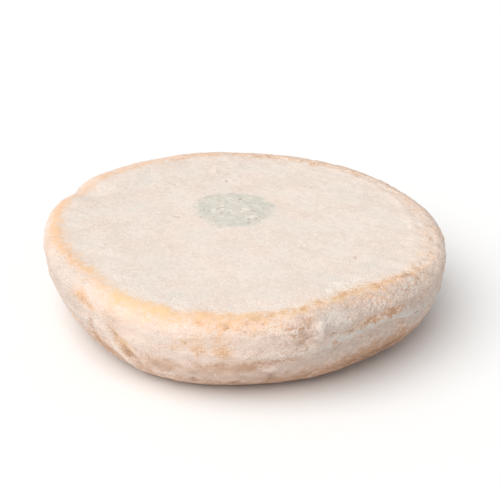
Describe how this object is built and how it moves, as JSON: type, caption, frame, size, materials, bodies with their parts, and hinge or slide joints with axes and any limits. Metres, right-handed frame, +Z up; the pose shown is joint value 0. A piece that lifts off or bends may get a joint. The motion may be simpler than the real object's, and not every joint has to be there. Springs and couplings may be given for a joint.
{
  "type": "reblochon cheese",
  "caption": "Whole soft washed-rind cheese: a low round wheel with sides sloping in to a smaller flat underside, and a casein mark let into its top.",
  "frame": {"origin": "on the resting plane, under the middle of the wheel's bounding box", "axes": "+Z up through the wheel, -Y towards the side that the picture looks on, +X to its right"},
  "size_m": [0.1394, 0.1396, 0.0315],
  "materials": {
    "rind": "matt cream bloom over an orange washed rind",
    "casein": "matt pale green casein under a thin bloom"
  },
  "bodies": {
    "root": {"cheese": "rind", "casein_mark": "casein"}
  },
  "joints": []
}
